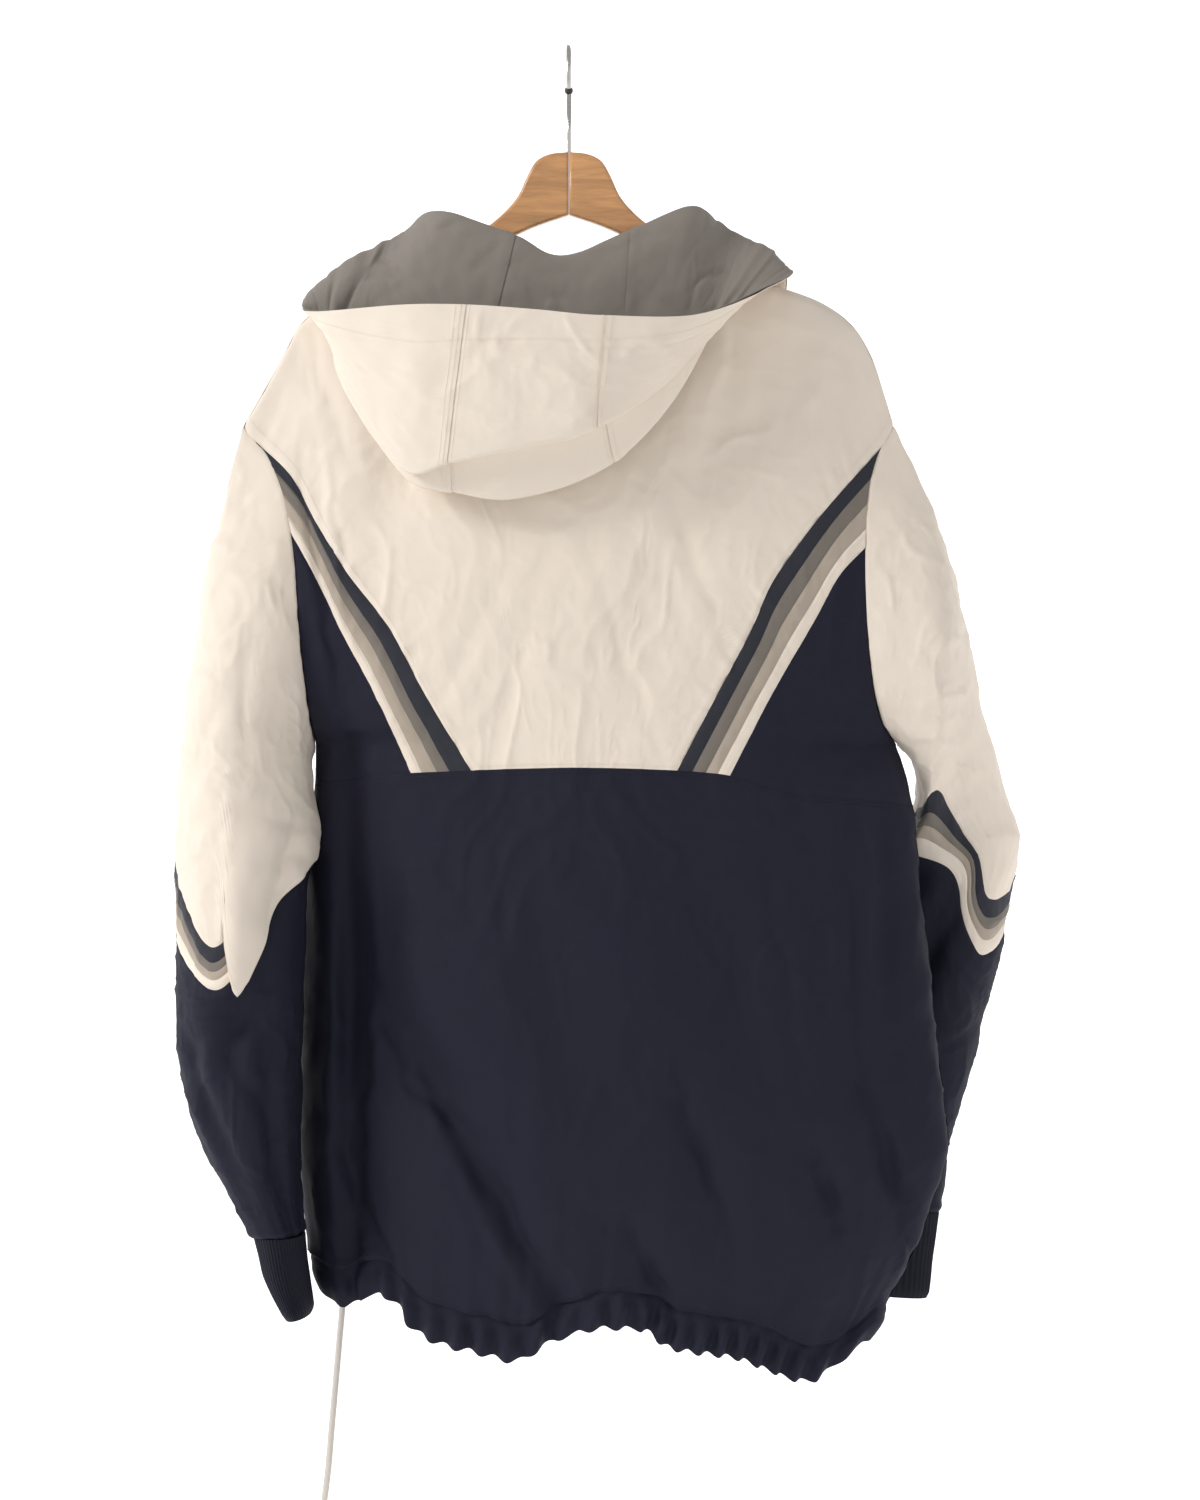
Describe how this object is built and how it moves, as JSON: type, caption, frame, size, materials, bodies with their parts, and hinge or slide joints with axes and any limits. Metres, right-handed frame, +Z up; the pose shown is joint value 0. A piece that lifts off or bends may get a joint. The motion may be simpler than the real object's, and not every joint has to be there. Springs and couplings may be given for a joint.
{
  "type": "windbreaker jacket on a hanger",
  "caption": "Hooded windbreaker with a full-length front zip, light yoke, dark lower body, slanting stripes, ribbed cuffs and a gathered hem, hanging on a curved wooden hanger.",
  "frame": {"origin": "inside top of the hanger's hook, where a rail or nail carries it", "axes": "+Z up, -Y out of the jacket's back, +Y out of its zip, +X to the right seen from behind"},
  "size_m": [0.633, 0.2343, 1.1344],
  "materials": {
    "shell_white": "matt woven cloth, warm off-white",
    "shell_navy": "matt woven cloth, very dark navy",
    "stripe_dark": "matt woven cloth, charcoal",
    "stripe_grey": "matt woven cloth, mid grey",
    "stripe_light": "matt woven cloth, light grey",
    "hood_lining": "smooth grey lining cloth",
    "rib_knit": "ribbed knit, near black",
    "zip_tape": "woven zip tape, near black",
    "zip_teeth": "moulded coil, dark",
    "zip_metal": "satin nickel",
    "hook_steel": "polished wire",
    "hanger_wood": "light wood under clear lacquer",
    "drawcord": "flat woven cotton cord, cream"
  },
  "bodies": {
    "jacket": {"back_yoke": "shell_white", "back_lower": "shell_navy", "hem_back": "shell_navy", "back_stripe_dark_left": "stripe_dark", "back_stripe_grey_left": "stripe_grey", "back_stripe_light_left": "stripe_light", "back_stripe_white_left": "shell_white", "back_side_left": "shell_navy", "front_upper_left": "shell_white", "front_lower_left": "shell_navy", "hem_front_left": "shell_navy", "sleeve_upper_left": "shell_white", "sleeve_stripe_dark_left": "stripe_dark", "sleeve_stripe_grey_left": "stripe_grey", "sleeve_stripe_light_left": "stripe_light", "sleeve_stripe_white_left": "shell_white", "sleeve_lower_left": "shell_navy", "cuff_left": "rib_knit", "hanger_arm_left": "hanger_wood", "zip_tape_left": "zip_tape", "back_stripe_dark_right": "stripe_dark", "back_stripe_grey_right": "stripe_grey", "back_stripe_light_right": "stripe_light", "back_stripe_white_right": "shell_white", "back_side_right": "shell_navy", "front_upper_right": "shell_white", "front_lower_right": "shell_navy", "hem_front_right": "shell_navy", "sleeve_upper_right": "shell_white", "sleeve_stripe_dark_right": "stripe_dark", "sleeve_stripe_grey_right": "stripe_grey", "sleeve_stripe_light_right": "stripe_light", "sleeve_stripe_white_right": "shell_white", "sleeve_lower_right": "shell_navy", "cuff_right": "rib_knit", "hanger_arm_right": "hanger_wood", "zip_tape_right": "zip_tape", "hood_shell_left": "shell_white", "hood_shell_centre": "shell_white", "hood_shell_right": "shell_white", "hood_lining_left": "hood_lining", "hood_lining_centre": "hood_lining", "hood_lining_right": "hood_lining", "zip_chain": "zip_teeth", "zip_slider": "zip_metal", "hanger_hook": "hook_steel", "drawcord_eyelet": "zip_metal", "drawcord": "drawcord"},
    "pull_tab": {"zip_pull_tab": "zip_metal"}
  },
  "joints": [
    {"name": "pull_tab_swing", "type": "hinge", "parent": "jacket", "child": "pull_tab", "pos_m": [0, 0.03687, -0.24979], "axis": [1, 0, 0], "range_deg": [0, 130]}
  ]
}
